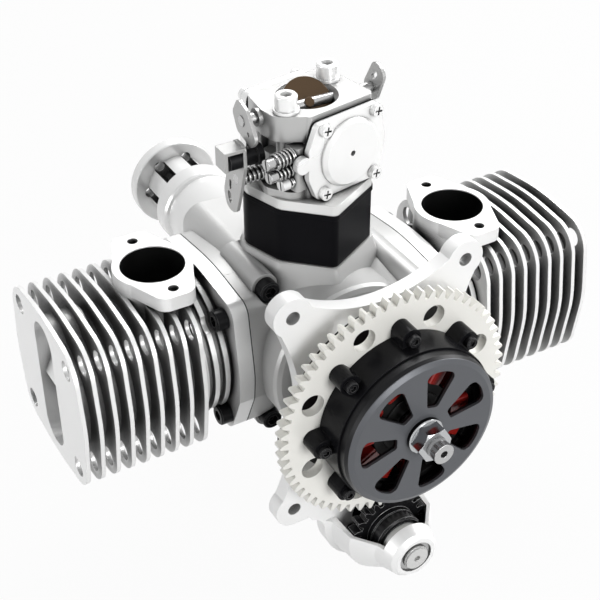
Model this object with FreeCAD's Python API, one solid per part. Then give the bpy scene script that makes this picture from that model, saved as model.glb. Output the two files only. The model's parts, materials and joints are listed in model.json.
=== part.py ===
import FreeCAD, Part
import math
import os

# Flat twin two-stroke aircraft engine with pumper carburettor, flywheel generator and starter.
# Frame: millimetres, +Z up (carburettor side), crankshaft along Y with the propeller at +Y.
# Origin: middle of the four engine mount holes, on the outer (-Y) face of the mount plate.

os.makedirs("parts", exist_ok=True)
V = FreeCAD.Vector
X = V(1, 0, 0)
Y = V(0, 1, 0)
Z = V(0, 0, 1)

# ---------------------------------------------------------------- driving sizes
run_gap = 0.05            # radial running clearance of shafts, pins and pistons
seat_gap = 0.3            # gap between pieces that pass each other

bore = 52.0               # cylinder bore
stroke = 40.0
rod_length = 66.0         # wrist pin to crankpin
left_y = 77.2             # axis of the left cylinder along the crankshaft
right_y = 51.1            # axis of the right cylinder
case_half = 44.5          # crank axis to the cylinder seat
gasket = 0.5              # thickness of the paper gaskets

# cylinder
base_thick = 7.5          # base flange
barrel_r = 33.0           # barrel between base flange and fins
rib_r = 36.0              # round ribs on the barrel
rib_count = 3
rib_width = 2.4
head_x = 129.4            # crank axis to the outer face of the last fin
fin_count = 9
fin_pitch = 7.36
fin_thick = 2.0
fin_half_y = 42.0
fin_half_z = 41.0
core_r = 31.5             # finned wall around the bore
squish = 1.0              # crown to head at top dead centre
dome_height = 5.0         # combustion chamber above the bore end
liner_r = 29.0            # spigot that enters the crankcase
liner_reach = 9.5         # its length
bolt_dy = 28.6            # base bolt pattern, half spacing along Y
bolt_dz = 27.8            # and along Z
bolt_r = 3.0              # M6 shank
bolt_head_r = 5.0
bolt_head_h = 6.0
key_hole_r = 4.8          # hole through the fins for the hexagon key
port_x = 73.9             # exhaust port axis from the crank axis
port_r = 15.0
port_top = 48.0           # height of the exhaust flange
port_flange_h = 7.0
port_bolt_y = 22.1        # half spacing of the exhaust studs
port_bolt_r = 2.5
port_wall = 3.6
duct_depth = 3.5          # transfer ducts outside the bore
plug_r = 5.0              # M10 spark plug thread
plug_bore_length = 22.0   # through the head into the chamber
plug_tilt = 24.0          # plug axis from the cylinder axis, degrees
plug_z = 17.0             # plug seat centre above the cylinder axis
pocket_depth = 2.5        # ridge of the plug pocket below the end face
pocket_half_y = 10.5
pocket_half_z = 34.0

# crank gear
journal_r = 10.0          # main journals
web_r = 32.0
web_thick = 11.0
pin_r = 6.5               # crankpin
rod_width = 9.6           # big end width
big_end_r = 11.0
small_end_r = 9.0
big_bore_r = 8.3          # outside of the needle cage
wrist_r = 5.5             # wrist pin
wrist_bore_r = 3.5
wrist_below_crown = 20.0
skirt_length = 32.5       # piston length
piston_gap = 0.06         # piston to bore, radial
ring_depth = 1.9
ring_width = 1.6

# crankcase
case_r = 41.0             # round body about the crank axis
chamber_r = 34.0          # crank chamber
case_rear = 22.0          # rear rim of the round body
case_front = 120.0        # front of the square housing
housing_start = 70.0      # where the square housing grows out of the round body
housing_full = 80.0
housing_corner = 10.0
neck_r = 33.0             # neck between round body and mount plate
nose_r = 27.4
nose_end = 136.7
pad_top = 48.0            # intake pad
intake_y = 64.5
intake_turn = 30.0        # turn of the intake hexagon about Z
case_bolt_x = 32.0
case_bolt_z = 38.5
case_bolt_mid = 35.0      # height of the upper right one
case_bolt_low = 37.2      # drop of the lower ones
case_bolt_end = 116.0     # where their threads end
left_seat = 48.0          # Y of the left and right bolt seats
right_seat = 16.0
case_boss_r = 6.5
bearing_r = 21.0          # main bearing outer radius
bearing_w = 12.0
race_wall = 3.0

# mount plate
plate_thick = 7.5
mount_x = 44.3
mount_z = 55.3
mount_hole_r = 3.3
ear_r = 9.5
plate_waist_x = 40.0      # half width between the ears
plate_waist_z = 48.5
lobe_r = 27.5             # round foot about the pinion axis

# flywheel generator
gear_front = -14.7
gear_thick = 5.0
module = 1.8
gear_teeth = 64
pinion_teeth = 21
gear_hole_r = 5.5
gear_hole_pcr = 46.7
gear_bore_r = 37.2
rotor_r = 40.0
rotor_wall = 3.2
rotor_depth = 15.3        # length of the rotor ring along Y
lug_r = 43.5              # centre radius of the screw lugs
lug_size = 4.6
lug_count = 8
rotor_screw_r = 1.5
rotor_screw_head_r = 2.9
bell_r = 39.0
bell_depth = 7.2
bell_wall = 2.6
window_count = 7
window_in = 14.0
window_out = 33.2
window_root = 2.8         # half width of a window at its inner end
window_half = 8.0         # and at its outer end
magnet_thick = 3.0
magnet_count = 14
stator_r = 32.6
stator_poles = 12
stator_thick = 9.0
carrier_r = 15.5
air_gap = 0.8
end_thread_r = 5.0
shaft_rear = -52.5
nut_flat = 15.0           # across flats

# starter
pinion_z = -76.5
drum_r = 12.6
collar_r = 10.0
starter_shaft_r = 4.0
nose_front = -37.5
nose_ring_r = 12.6
shell_base_r = 25.0
shell_wall = 3.0
motor_r = 17.0
motor_length = 62.0

# propeller hub
hub_start = 137.2
hub_neck_r = 17.0
hub_ring_r = 23.3
hub_dish_r = 21.3
hub_ring_start = 178.0
hub_ring_end = 189.5
flange_y = 213.0
flange_r = 25.0
flange_thick = 7.0
prop_hole_r = 3.0
prop_pcr = 16.3
prop_count = 6
cap_r = 12.5
cap_end = 237.0

# intake stack
stack_u = 26.3            # half length of the intake stack along its turned axis
stack_lip = 0.5           # lip at the top of the insulator
stack_lip_h = 2.2
pedestal_grow = 5.0       # flare of the intake pedestal
pedestal_low = 34.0       # its foot, above the crank axis
insulator_top = 75.0
adaptor_top = 80.0
carb_top = 120.0
throat_r = 12.5
carb_turn = 10.0          # body turn about Z
carb_half_v = 17.5        # gasket faces of the carburettor body
carb_bolt_u = 18.0        # mount bolts from the throat, along the turned axis
choke_z = 115.5
throttle_z = 88.0
shaft_r = 2.5
plate_t = 1.2             # butterfly plates
plate_r = 12.35
choke_rest = 50.0         # tilt of the choke plate, degrees
reed_u = 13.5             # reed valve flange, half length
reed_v = 15.0             # and half width
reed_flange_h = 2.0
reed_depth = 13.0
petal_t = 0.4
carb_u = 24.0             # end of the body away from the levers
low_flange_h = 3.8
top_flange_h = 12.0
carb_column_r = 4.6       # walls around the mounting bolts
carb_washer_r = 5.8
carb_washer_h = 1.5
carb_head_h = 6.5
side_gasket = 1.2
cover_thick = 3.0
pump_thick = 4.0
screw_pitch_u = 14.7      # cover screws, half spacing along the body
screw_pitch_z = 15.6      # and in height
meter_u = 5.9             # middle of the metering cover
meter_z = 98.9
meter_bulge = 4.9         # bulge of its left edge
pump_bulge = 1.0
pump_u = -1.0             # middle of the pump cover
pump_z = 100.4
cover_screw_r = 1.6
cover_head_r = 2.9
cover_washer_r = 3.2
cover_washer_h = 0.6
cover_head_h = 2.2
cross_depth = 1.2
cover_lug_r = 4.0
cover_lug_u = 25.6        # lug from the middle of the cover
dome_r = 16.2
dome_h = 2.8
vent_r = 1.3
arm_x = -36.4             # outer face of the throttle arm
arm_t = 1.6
swivel_dy = -4.0          # cable swivel from the throttle shaft
swivel_dz = 12.2
swivel_r = 4.4
swivel_pin_r = 1.8
swivel_head = 6.5
spacer_length = 5.8
collar_length = 3.0
collar_swivel_r = 5.0
guard_width = 9.2
guard_depth = 9.0
guard_drop = 9.5
guard_t = 1.6
spring_r = 3.9
spring_wire = 0.6
choke_x0 = -33.0          # ends of the choke shaft
choke_x1 = 36.0
lever_t = 1.5
needle_v = -14.2          # needles in front of the throat
needle_seat = -20.5       # face under the needle springs
needle_tip = -7.0
needle_r = 1.8
needle_head_r = 2.6
needle_head_h = 4.0
high_spring_r = 3.8
low_spring_r = 3.0
needle_wire = 0.5
high_z = 103.2
low_z = 96.2
idle_z = 90.0
high_head = -35.0         # outer ends of the needle heads
low_head = -33.6
idle_head = -27.0


# ---------------------------------------------------------------- helpers
def rod(radius, length, start, along):
    return Part.makeCylinder(radius, length, V(*start), along)


def tube(outer, inner, length, start, along):
    over = 1.0
    hole = rod(inner, length + 2 * over, tuple(V(*start) - along * over), along)
    return rod(outer, length, start, along).cut(hole)


def join(*shapes):
    flat = []
    for s in shapes:
        flat.extend(s if isinstance(s, list) else [s])
    return flat[0].multiFuse(flat[1:]) if len(flat) > 1 else flat[0]


def carve(shape, *tools):
    flat = []
    for t in tools:
        flat.extend(t if isinstance(t, list) else [t])
    return shape.cut(flat)


def rounded(corners, place):
    """Closed wire of straight runs and corner arcs; corners are (u, v, radius)."""
    count = len(corners)
    starts, ends, mids = [], [], []
    for i, (u, v, radius) in enumerate(corners):
        here = V(u, v, 0)
        back = (V(*corners[i - 1][:2], 0) - here).normalize()
        ahead = (V(*corners[(i + 1) % count][:2], 0) - here).normalize()
        if radius == 0:
            starts.append(here)
            ends.append(here)
            mids.append(None)
            continue
        half = back.getAngle(ahead) / 2
        inward = (back + ahead).normalize()
        starts.append(here + back * (radius / math.tan(half)))
        ends.append(here + ahead * (radius / math.tan(half)))
        mids.append(here + inward * (radius / math.sin(half) - radius))
    edges = []
    for i in range(count):
        if mids[i] is not None:
            edges.append(Part.Arc(place(starts[i]), place(mids[i]), place(ends[i])).toShape())
        after = (i + 1) % count
        if (starts[after] - ends[i]).Length > 1e-4:
            edges.append(Part.LineSegment(place(ends[i]), place(starts[after])).toShape())
    return Part.Wire(edges)


def slab(corners, place, depth):
    return Part.Face(rounded(corners, place)).extrude(depth)


def on_x(x, y, z):
    """Sketch plane across X: u is Y, v is Z."""
    return lambda p: V(x, y + p.x, z + p.y)


def on_y(y, x=0.0, z=0.0):
    """Sketch plane across Y: u is X, v is Z."""
    return lambda p: V(x + p.x, y, z + p.y)


def on_z(z, x, y, turn):
    """Sketch plane across Z, turned about Z by the angle in degrees."""
    c = math.cos(math.radians(turn))
    s = math.sin(math.radians(turn))
    return lambda p: V(x + p.x * c - p.y * s, y + p.x * s + p.y * c, z)


def spin_y(profile, x=0.0, z=0.0):
    """Revolve (radius, y) points about a line along Y."""
    pts = [V(x + r, y, z) for r, y in profile]
    return Part.Face(Part.makePolygon(pts + pts[:1])).revolve(V(x, 0, z), Y, 360)


def spin_x(profile, y=0.0, z=0.0):
    """Revolve (radius, x) points about a line along X."""
    pts = [V(x, y + r, z) for r, x in profile]
    return Part.Face(Part.makePolygon(pts + pts[:1])).revolve(V(0, y, z), X, 360)


def around(shape, count, centre=V(0, 0, 0), axis=Y, first=0.0):
    """Copies of a shape at even angles about an axis."""
    out = []
    for i in range(count):
        copy = shape.copy()
        copy.rotate(centre, axis, first + i * 360.0 / count)
        out.append(copy)
    return out


def turned(shape, angle, centre, axis):
    copy = shape.copy()
    copy.rotate(centre, axis, angle)
    return copy


def mirrored(shape):
    """The same piece on the other side of the crank axis."""
    return shape.mirror(V(0, 0, 0), X)


def polar(radius, degrees):
    a = math.radians(degrees)
    return radius * math.cos(a), radius * math.sin(a)


def hex_prism(flats, length, start, along):
    """Hexagon bar; flats is the size across flats."""
    circle = [V(*polar(flats / math.sqrt(3), 60 * k), 0) for k in range(7)]
    prism = Part.Face(Part.makePolygon(circle)).extrude(Z * length)
    prism.Placement = FreeCAD.Placement(V(*start), FreeCAD.Rotation(Z, along))
    return prism


def socket_screw(shank_r, head_r, head_h, length, seat, along):
    """Cap screw: seat is the point under the head, along points down the shank."""
    down = V(*along)
    seat = V(*seat)
    head = rod(head_r, head_h, tuple(seat - down * head_h), down)
    top_edges = [e for e in head.Edges if (e.CenterOfMass - (seat - down * head_h)).Length < 1e-3]
    head = head.makeChamfer(head_r * 0.12, top_edges)
    key = hex_prism(head_r, head_h * 0.55, tuple(seat - down * (head_h + 0.01)), down)
    return join(head.cut(key), rod(shank_r, length, tuple(seat), down))


def coil(radius, wire_r, pitch, turns, start, along):
    """Spring drawn as close rounded rings on a thin sleeve; it starts at start and runs along."""
    inner = radius - wire_r
    outer = radius + wire_r
    core = radius - wire_r * 0.2
    profile = [(inner, 0)]
    for k in range(turns):
        low = k * pitch
        profile += [(core, low), (outer, low + wire_r * 0.6), (outer, low + wire_r * 1.4), (core, low + wire_r * 2)]
    profile.append((inner, (turns - 1) * pitch + 2 * wire_r))
    spring = spin_y(profile)
    spring.Placement = FreeCAD.Placement(V(*start), FreeCAD.Rotation(Y, V(*along)))
    return spring


def save(name, shapes):
    solids = []
    for s in shapes if isinstance(shapes, list) else [shapes]:
        solids.extend(s.Solids)
    shape = solids[0] if len(solids) == 1 else Part.makeCompound(solids)
    if not shape.isValid():
        raise ValueError(name + " is not a valid solid")
    shape.exportStep("parts/" + name + ".step")


# ---------------------------------------------------------------- shared outlines
def base_outline(grow=0.0):
    """Base flange about the cylinder axis, in (Y, Z): bulged sides and bevelled lower flanks."""
    g = grow
    side = [(-31 - g, -37 - g, 8), (-41 - g, -14, 3), (-42.3 - g, 0, 40), (-36.5 - g, 36.5 + g, 7)]
    other = [(-u, v, r) for u, v, r in reversed(side)]
    return side + [(0, 40.5 + g, 120)] + other + [(0, -39 - g, 120)]


def fin_outline():
    h = fin_half_y
    k = fin_half_z
    return [(h, 0, 60), (h - 5, k - 4, 16), (0, k, 120), (5 - h, k - 4, 16),
            (-h, 0, 60), (5 - h, 4 - k, 14), (0, -k, 120), (h - 5, 4 - k, 14)]


def intake_outline(grow=0.0):
    """Eight-sided outline of the intake stack, the same after half a turn."""
    k = 1 + grow / stack_u
    side = [(stack_u, 0.8, 9), (19.0, 26.0, 3), (-13.2, 26.6, 3), (-21.2, 20.8, 8)]
    return [(s * u * k, s * v * k, r * k) for s in (1, -1) for u, v, r in side]


# ---------------------------------------------------------------- cylinders
base_x = case_half + gasket
flange_x = base_x + base_thick
bore_end = rod_length + stroke / 2 + wrist_below_crown + squish
fin_first = head_x - (fin_count - 1) * fin_pitch - fin_thick
crown_x = bore_end - squish
skirt_end_tdc = crown_x - skirt_length


def right_cylinder(y):
    at = on_x(base_x, y, 0)
    body = [slab(base_outline(), at, X * base_thick)]
    body.append(rod(barrel_r, fin_first - flange_x + fin_thick, (flange_x, y, 0), X))
    rib_step = (fin_first - flange_x) / rib_count
    for k in range(rib_count):
        body.append(rod(rib_r, rib_width, (flange_x + (k + 0.35) * rib_step, y, 0), X))
    body.append(rod(core_r, head_x - fin_first, (fin_first, y, 0), X))
    for k in range(fin_count):
        at = on_x(fin_first + k * fin_pitch, y, 0)
        body.append(slab(fin_outline(), at, X * fin_thick))
    body.append(rod(liner_r, liner_reach, (base_x - liner_reach, y, 0), X))
    # walls of the plug pocket
    wall_y = pocket_half_y + 3
    wall_z = pocket_half_z + 2
    pocket_back = bore_end + 3
    corner = wall_y - 0.5
    outline = [(wall_y, wall_z, corner), (-wall_y, wall_z, corner),
               (-wall_y, -wall_z, corner), (wall_y, -wall_z, corner)]
    body.append(slab(outline, on_x(pocket_back, y, 0), X * (head_x - pocket_back)))
    # exhaust stub and its two-bolt flange
    stub_r = port_r + port_wall
    body.append(rod(stub_r, port_top - 20, (port_x, y, 20), Z))
    reach = port_bolt_y + port_bolt_r + 4
    side = stub_r + 1
    flange = [(side, 0, 17), (8, reach, 6), (-8, reach, 6), (-side, 0, 17), (-8, -reach, 6), (8, -reach, 6)]
    body.append(slab(flange, on_z(port_top - port_flange_h, port_x, y, 0), Z * port_flange_h))
    solid = join(body)
    # bore, chamber and liner mouth
    cuts = [rod(bore / 2, bore_end - base_x + liner_reach + 1, (base_x - liner_reach - 1, y, 0), X)]
    ball_r = (bore * bore / 4 + dome_height * dome_height) / (2 * dome_height)
    ball = Part.makeSphere(ball_r, V(bore_end + dome_height - ball_r, y, 0))
    cuts.append(ball.common(rod(bore / 2, dome_height + 2, (bore_end - 1, y, 0), X)))
    # exhaust passage and its window in the bore
    cuts.append(rod(port_r, port_top, (port_x, y, bore / 2 + 2), Z))
    window = Part.makeBox(port_r - 1, 26, 12, V(skirt_end_tdc + 1, y - 13, bore / 2 - 8))
    cuts.append(window.makeFillet(3, [e for e in window.Edges if abs(e.tangentAt(0).z) > 0.9]))
    # transfer ducts, open to the crankcase
    for turn in (90, 270):
        duct = Part.makeBox(skirt_end_tdc + 10 - base_x + liner_reach, 18, duct_depth + 1.5,
                            V(base_x - liner_reach - 1, y - 9, bore / 2 - 1.5))
        cuts.append(turned(duct, turn, V(0, y, 0), X))
    # base bolts and the key holes through the fins
    for sy in (-1, 1):
        for sz in (-1, 1):
            by = y + sy * bolt_dy
            bz = sz * bolt_dz
            cuts.append(rod(bolt_r + 0.3, base_thick + 2, (base_x - 1, by, bz), X))
            cuts.append(rod(key_hole_r + 1, fin_first - flange_x, (flange_x, by, bz), X))
            cuts.append(rod(key_hole_r, head_x, (fin_first - 1, by, bz), X))
    for s in (-1, 1):
        cuts.append(rod(port_bolt_r, port_flange_h + 6, (port_x, y + s * port_bolt_y, port_top - port_flange_h - 5), Z))
    # plug pocket: a slot whose floor slopes away from a middle ridge
    r = pocket_half_y - 0.5
    slot = [(pocket_half_y, pocket_half_z, r), (-pocket_half_y, pocket_half_z, r),
            (-pocket_half_y, -pocket_half_z, r), (pocket_half_y, -pocket_half_z, r)]
    deep = 18.0
    pocket = slab(slot, on_x(head_x - deep, y, 0), X * (deep + 1))
    ridge = head_x - pocket_depth
    fall = math.tan(math.radians(plug_tilt)) * (pocket_half_z + 5)
    roof = [V(ridge, y - 30, 0), V(ridge - fall, y - 30, pocket_half_z + 5), V(ridge - 60, y - 30, pocket_half_z + 5),
            V(ridge - 60, y - 30, -pocket_half_z - 5), V(ridge - fall, y - 30, -pocket_half_z - 5)]
    cuts.append(pocket.cut(Part.Face(Part.makePolygon(roof + roof[:1])).extrude(Y * 60)))
    for s in (-1, 1):
        seat = plug_point(s, y)
        cuts.append(rod(plug_r, plug_bore_length, tuple(seat + plug_axis(s) * (1 - plug_bore_length)), plug_axis(s)))
    return carve(solid, cuts)


def plug_axis(s):
    """Outward axis of the upper (1) or lower (-1) plug on the right cylinder."""
    t = math.radians(plug_tilt)
    return V(math.cos(t), 0, s * math.sin(t))


def plug_point(s, y):
    drop = math.tan(math.radians(plug_tilt)) * plug_z
    return V(head_x - pocket_depth - drop, y, s * plug_z)


right = right_cylinder(right_y)
left = mirrored(right_cylinder(left_y))
save("cylinder_right", right)
save("cylinder_left", left)


def base_gasket(y):
    plate = slab(base_outline(), on_x(case_half, y, 0), X * gasket)
    holes = [rod(liner_r + 0.5, 4, (case_half - 1, y, 0), X)]
    for sy in (-1, 1):
        for sz in (-1, 1):
            holes.append(rod(bolt_r + 0.3, 4, (case_half - 1, y + sy * bolt_dy, sz * bolt_dz), X))
    return carve(plate, holes)


save("base_gaskets", [base_gasket(right_y), mirrored(base_gasket(left_y))])

base_bolt_reach = 13.0    # thread in the crankcase


def base_bolts_for(y):
    out = []
    for sy in (-1, 1):
        for sz in (-1, 1):
            seat = (flange_x, y + sy * bolt_dy, sz * bolt_dz)
            length = base_thick + gasket + base_bolt_reach
            out.append(socket_screw(bolt_r, bolt_head_r, bolt_head_h, length, seat, (-1, 0, 0)))
    return out


save("base_bolts", base_bolts_for(right_y) + [mirrored(b) for b in base_bolts_for(left_y)])


# ---------------------------------------------------------------- crank gear layout along Y
half_gap = rod_width / 2 + seat_gap
rear_web = right_y - half_gap - web_thick
front_web = left_y + half_gap
centre_web = right_y + half_gap
centre_web_thick = left_y - half_gap - centre_web
chamber_rear = rear_web - 0.8
chamber_front = front_web + web_thick + 0.8
rear_bearing = chamber_rear - bearing_w
front_bearing = chamber_front
nose_bearing = nose_end - bearing_w - 3.0

# ---------------------------------------------------------------- crankcase
case_bolts_at = [(-case_bolt_x, case_bolt_z, left_seat), (-case_bolt_x, -case_bolt_low, left_seat),
                 (case_bolt_x, case_bolt_mid, right_seat), (case_bolt_x, -case_bolt_low, right_seat)]
block_depth = 12.0        # straight part of each cylinder block
block_root = 16.0         # where its tapered part ends, from the crank axis


def cylinder_block(y):
    straight = slab(base_outline(), on_x(case_half - block_depth, y, 0), X * block_depth)
    big = rounded(base_outline(), on_x(case_half - block_depth, y, 0))
    small = rounded(base_outline(-5.0), on_x(block_root, y, 0))
    return [straight, Part.makeLoft([small, big], True, True)]


def make_crankcase():
    rim = 3.0
    body = [spin_y([(0, case_rear), (case_r - rim, case_rear), (case_r - 0.8, case_rear + 1),
                    (case_r, case_rear + rim), (case_r, case_front), (0, case_front)])]
    body.append(rod(neck_r, case_rear - plate_thick + 1, (0, plate_thick, 0), Y))
    body.extend(cylinder_block(right_y))
    body.extend([mirrored(s) for s in cylinder_block(left_y)])
    foot = rounded(intake_outline(pedestal_grow), on_z(pedestal_low, 0, intake_y, intake_turn))
    pad = rounded(intake_outline(1.0), on_z(pad_top - 1, 0, intake_y, intake_turn))
    body.append(Part.makeLoft([foot, pad], True, True))
    body.append(slab(intake_outline(1.0), on_z(pad_top - 1.5, 0, intake_y, intake_turn), Z * 1.5))
    for x, z, seat in case_bolts_at:
        body.append(rod(case_boss_r, housing_full - seat, (x, seat, z), Y))
    # square front housing that narrows to the round nose
    body.append(slab(housing_outline(), on_y(housing_full), Y * (case_front - housing_full)))
    small = rounded(housing_outline(-8.0), on_y(housing_start))
    full = rounded(housing_outline(), on_y(housing_full))
    body.append(Part.makeLoft([small, full], True, True))
    n = nose_r - 0.4
    nose_outline = [(n, n, 25), (-n, n, 25), (-n, -n, 25), (n, -n, 25)]
    nose_start = nose_end - 2.6
    wide = rounded(housing_outline(), on_y(case_front))
    body.append(Part.makeLoft([wide, rounded(nose_outline, on_y(nose_start))], True, True))
    body.append(spin_y([(0, nose_start - 1), (nose_r, nose_start - 1), (nose_r, nose_end - 0.5),
                        (nose_r - 0.5, nose_end), (0, nose_end)]))
    solid = join(body)
    cuts = [rod(chamber_r, chamber_front - chamber_rear, (0, chamber_rear, 0), Y)]
    cuts.append(rod(journal_r + 3, nose_end, (0, plate_thick - 1, 0), Y))
    cuts.append(rod(bearing_r, bearing_w + 0.01, (0, rear_bearing, 0), Y))
    cuts.append(rod(bearing_r, bearing_w + 0.01, (0, front_bearing - 0.01, 0), Y))
    cuts.append(rod(seal_r, seal_w, (0, seal_rear, 0), Y))
    cuts.append(rod(bearing_r, nose_end, (0, nose_bearing, 0), Y))
    for side, y in ((1, right_y), (-1, left_y)):
        mouth = rod(liner_r + 0.4, case_half + 1, (0, y, 0), X * side)
        hall = Part.makeBox(200, chamber_front - chamber_rear, 200, V(-100, chamber_rear, -100))
        cuts.append(mouth.common(hall))
        relief = case_half + 1 - (skirt_end_tdc - stroke - 0.8)
        cuts.append(rod(liner_r + 0.4, relief, (side * (case_half + 1), y, 0), X * -side))
        # faced seat of the cylinder
        cuts.append(slab(base_outline(1.0), on_x(side * case_half, y, 0), X * side * base_thick))
        for sy in (-1, 1):
            for sz in (-1, 1):
                start = (side * (case_half - base_bolt_reach), y + sy * bolt_dy, sz * bolt_dz)
                cuts.append(rod(bolt_r, base_bolt_reach + 1, start, X * side))
    for x, z, seat in case_bolts_at:
        cuts.append(rod(bolt_r, case_bolt_end + 2 - seat, (x, seat - 1, z), Y))
        cuts.append(rod(case_boss_r - 0.8, seat, (x, 0, z), Y))
    cuts.append(slab(reed_cavity(), on_z(20, 0, intake_y, intake_turn), Z * 30))
    for x, y in carb_bolt_points():
        cuts.append(rod(bolt_r, 12, (x, y, pad_top - 11), Z))
    for x, z in plate_screw_points():
        cuts.append(rod(plate_screw_r, 14, (x, plate_thick - 1, z), Y))
    return carve(solid, cuts)


seal_r = 17.0
seal_w = 6.0
seal_rear = rear_bearing - seal_w - 3
plate_screw_r = 2.5
plate_screw_ring = 26.0


def plate_screw_points():
    return [polar(plate_screw_ring, 45 + 90 * k) for k in range(4)]


def carb_bolt_points():
    a = math.radians(intake_turn)
    return [(s * carb_bolt_u * math.cos(a), intake_y + s * carb_bolt_u * math.sin(a)) for s in (-1, 1)]


def reed_outline(grow=0.0):
    u = reed_u + grow
    v = reed_v + grow
    return [(u, v, 3), (-u, v, 3), (-u, -v, 3), (u, -v, 3)]


def reed_cavity():
    return reed_outline(-1.9)


def housing_outline(grow=0.0):
    w = case_bolt_x + case_boss_r + grow
    top = case_bolt_z + case_boss_r + grow
    low = -case_bolt_low - case_boss_r - grow
    right_top = case_bolt_mid + case_boss_r + grow
    c = housing_corner
    return [(w, right_top, c), (-w, top, c), (-w, low, c), (w, low, c)]


# the case is split across the crankshaft, midway between the cylinders
case = make_crankcase()
split_y = (left_y + right_y) / 2
span = 4 * case_front
rear_half = Part.makeBox(span, span, span, V(-span / 2, split_y - span, -span / 2))
save("crankcase_rear", case.common(rear_half))
save("crankcase_front", case.cut(rear_half))

bolts = []
for x, z, seat in case_bolts_at:
    bolts.append(socket_screw(bolt_r, bolt_head_r, bolt_head_h, case_bolt_end - seat, (x, seat, z), (0, 1, 0)))
save("crankcase_bolts", bolts)


def bearing(start):
    inner = journal_r + run_gap
    outer = bearing_r
    g = 0.8
    a = inner + race_wall
    b = outer - race_wall
    end = start + bearing_w
    profile = [(inner, start), (a, start), (a, start + g), (b, start + g), (b, start), (outer, start),
               (outer, end), (b, end), (b, end - g), (a, end - g), (a, end), (inner, end)]
    return spin_y(profile)


save("main_bearings", [bearing(rear_bearing), bearing(front_bearing), bearing(nose_bearing)])


def lip_seal(outer, start, width):
    inner = journal_r + run_gap
    return spin_y([(inner, start), (inner + 1.2, start + width), (outer - 1.5, start + width), (outer - 1.5, start + 1.5),
                   (outer - 1.2, start + 1.5), (outer - 1.2, start + width), (outer, start + width), (outer, start)])


save("crank_seals", [lip_seal(seal_r, seal_rear, seal_w), lip_seal(bearing_r, nose_end - 3, 2.8)])


# ---------------------------------------------------------------- mount plate with the starter nose
def make_mount_plate():
    w = mount_x + ear_r
    h = mount_z + ear_r
    plate = slab([(w, h, ear_r), (-w, h, ear_r), (-w, -h, ear_r), (w, -h, ear_r)], on_y(0), Y * plate_thick)
    rise = h - plate_waist_z
    top_r = (mount_x * mount_x + rise * rise) / (2 * rise)
    side_fall = w - plate_waist_x
    side_r = (mount_z * mount_z + side_fall * side_fall) / (2 * side_fall)
    cuts = [rod(top_r, plate_thick + 2, (0, -1, plate_waist_z + top_r), Y)]
    for s in (-1, 1):
        cuts.append(rod(side_r, plate_thick + 2, (s * (plate_waist_x + side_r), -1, 0), Y))
    plate = plate.cut(cuts)
    ears = [rod(ear_r, plate_thick, (sx * mount_x, 0, sz * mount_z), Y) for sx in (-1, 1) for sz in (-1, 1)]
    lobe = rod(lobe_r, plate_thick, (0, 0, pinion_z), Y)
    waist = 11.0
    neck = slab([(lobe_r + waist - 2, -h + 0.5, 0), (lobe_r + waist - 2, -h + 3, 0), (-lobe_r - waist + 2, -h + 3, 0),
                 (-lobe_r - waist + 2, -h + 0.5, 0), (-lobe_r + 0.5, pinion_z - 2, 12), (lobe_r - 0.5, pinion_z - 2, 12)],
                on_y(0), Y * plate_thick)
    for s in (-1, 1):
        neck = neck.cut(rod(waist, 20, (s * (lobe_r + waist), -2, pinion_z - 1), Y))
    # open shell that narrows to the ring carrying the pinion shaft
    back = nose_front + 7.5
    clear_r = module * (pinion_teeth + 2) / 2 + 0.7
    turn_y = gear_front - 0.9
    outer = [(0, 0), (shell_base_r + 2.5, 0), (shell_base_r, -2.5), (clear_r + 2, turn_y), (nose_ring_r + 3.0, back + 4),
             (nose_ring_r, nose_front + 2), (nose_ring_r - 2, nose_front), (0, nose_front)]
    inner = [(0, 1), (shell_base_r - shell_wall, 1), (shell_base_r - shell_wall, -2.5), (clear_r, turn_y),
             (nose_ring_r + 3.0 - shell_wall + 1.0, back + 4), (nose_ring_r - 0.5, back), (0, back)]
    shell = spin_y(outer, 0, pinion_z).cut(spin_y(inner, 0, pinion_z))
    keep_above = 5.0
    lid = Part.makeBox(2 * lobe_r + 10, -back, lobe_r + 10, V(-lobe_r - 5, back, pinion_z + keep_above))
    shell = shell.cut(lid)
    solid = join(plate, ears, lobe, neck, shell)
    holes = [rod(mount_hole_r, 2 * plate_thick, (sx * mount_x, -1, sz * mount_z), Y)
             for sx in (-1, 1) for sz in (-1, 1)]
    holes.append(rod(journal_r + 3, 2 * plate_thick, (0, -1, 0), Y))
    holes.append(rod(motor_nose_r, 2 * plate_thick, (0, -1, pinion_z), Y))
    holes.append(rod(bush_r, 20, (0, nose_front - 1, pinion_z), Y))
    for x, z in plate_screw_points():
        holes.append(rod(plate_screw_r + 0.2, 2 * plate_thick, (x, -1, z), Y))
        holes.append(rod(plate_head_r + 0.2, plate_head_h + 1, (x, -1, z), Y))
    for x, z in motor_screw_points():
        holes.append(rod(motor_screw_r, 2 * plate_thick, (x, -1, z), Y))
    return carve(solid, holes)


bush_r = 8.6
motor_nose_r = 12.0
motor_screw_r = 2.0
plate_head_r = 4.25
plate_head_h = 5.0


def motor_screw_points():
    return [(14.5 * math.cos(a), pinion_z + 14.5 * math.sin(a)) for a in (math.radians(205), math.radians(335))]


save("mount_plate", make_mount_plate())
screws = []
for x, z in plate_screw_points():
    screws.append(socket_screw(plate_screw_r, plate_head_r, plate_head_h, 15, (x, plate_head_h, z), (0, 1, 0)))
save("mount_plate_screws", screws)

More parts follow.
